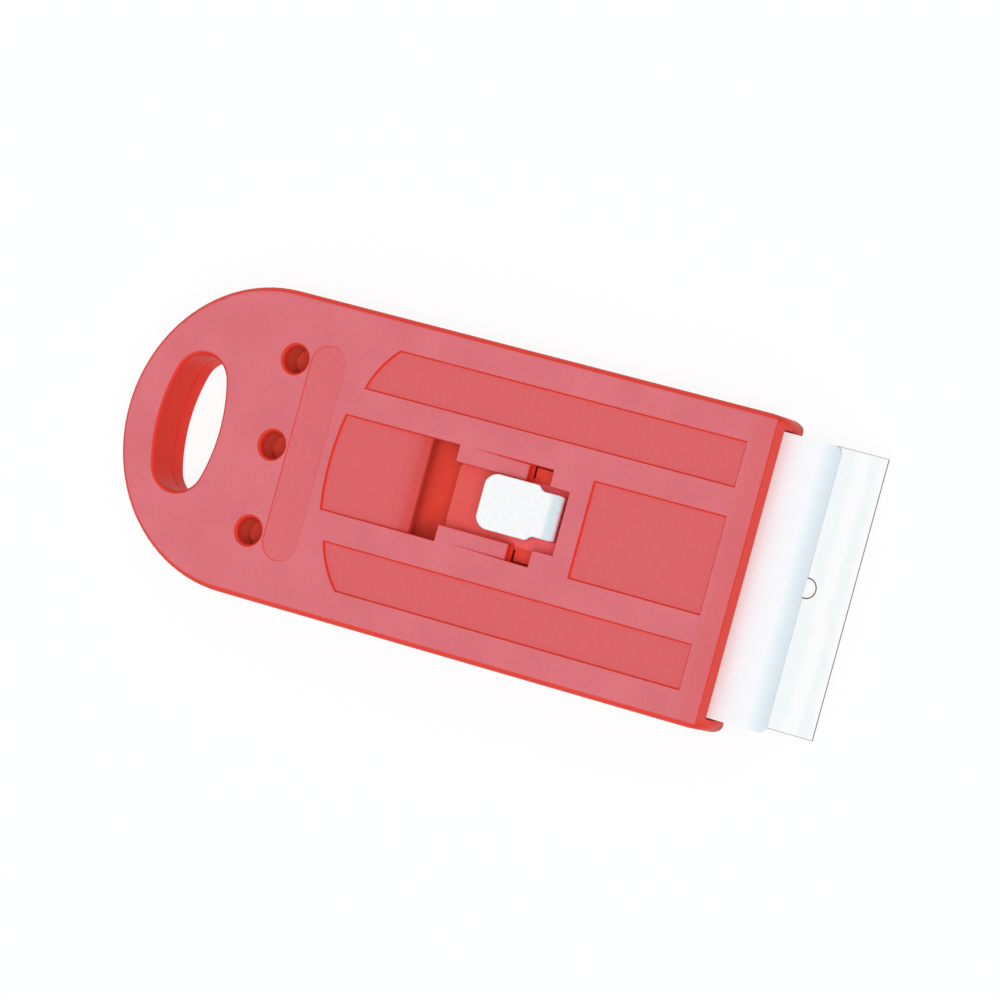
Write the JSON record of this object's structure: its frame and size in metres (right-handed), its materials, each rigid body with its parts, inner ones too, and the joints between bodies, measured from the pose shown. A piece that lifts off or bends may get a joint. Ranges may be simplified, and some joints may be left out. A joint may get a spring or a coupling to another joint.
{
  "type": "razor blade scraper",
  "caption": "Flat moulded scraper with a sliding carriage that brings a single-edge blade out of its mouth, a thumb tab on a lock arm, and a hanging hole.",
  "frame": {"origin": "middle of the whole length with the blade out, middle of the body's width, on the underside", "axes": "+X towards the cutting edge, +Z out of the face that carries the thumb tab"},
  "size_m": [0.1112, 0.0426, 0.01],
  "materials": {
    "body_red": "red moulded plastic with a fine matt grain",
    "carriage_red": "red moulded plastic, smooth",
    "arm_red": "red moulded plastic, smooth",
    "plated_sheet": "bright plated sheet steel, satin",
    "tab_strip": "bright plated steel strip",
    "rivet_steel": "plain steel rivet",
    "blade_steel": "ground carbon steel with a honed edge",
    "spine_steel": "folded steel strip"
  },
  "bodies": {
    "housing": {"upper_shell": "body_red", "lower_shell": "body_red"},
    "carriage": {"carriage_bed": "carriage_red", "blade_clamp": "plated_sheet", "clamp_rivets": "rivet_steel", "razor_blade": "blade_steel", "blade_spine": "spine_steel"},
    "thumb": {"lock_arm": "arm_red", "thumb_tab": "tab_strip"}
  },
  "joints": [
    {"name": "carriage_slide", "type": "slide", "parent": "housing", "child": "carriage", "axis": [1, 0, 0], "range_m": [-0.01505, 0]},
    {"name": "thumb_press", "type": "hinge", "parent": "carriage", "child": "thumb", "pos_m": [0.02432, 0, 0.00545], "axis": [0, -1, 0], "range_deg": [0, 2.5], "stiffness_Nm_per_rad": 0.3}
  ]
}
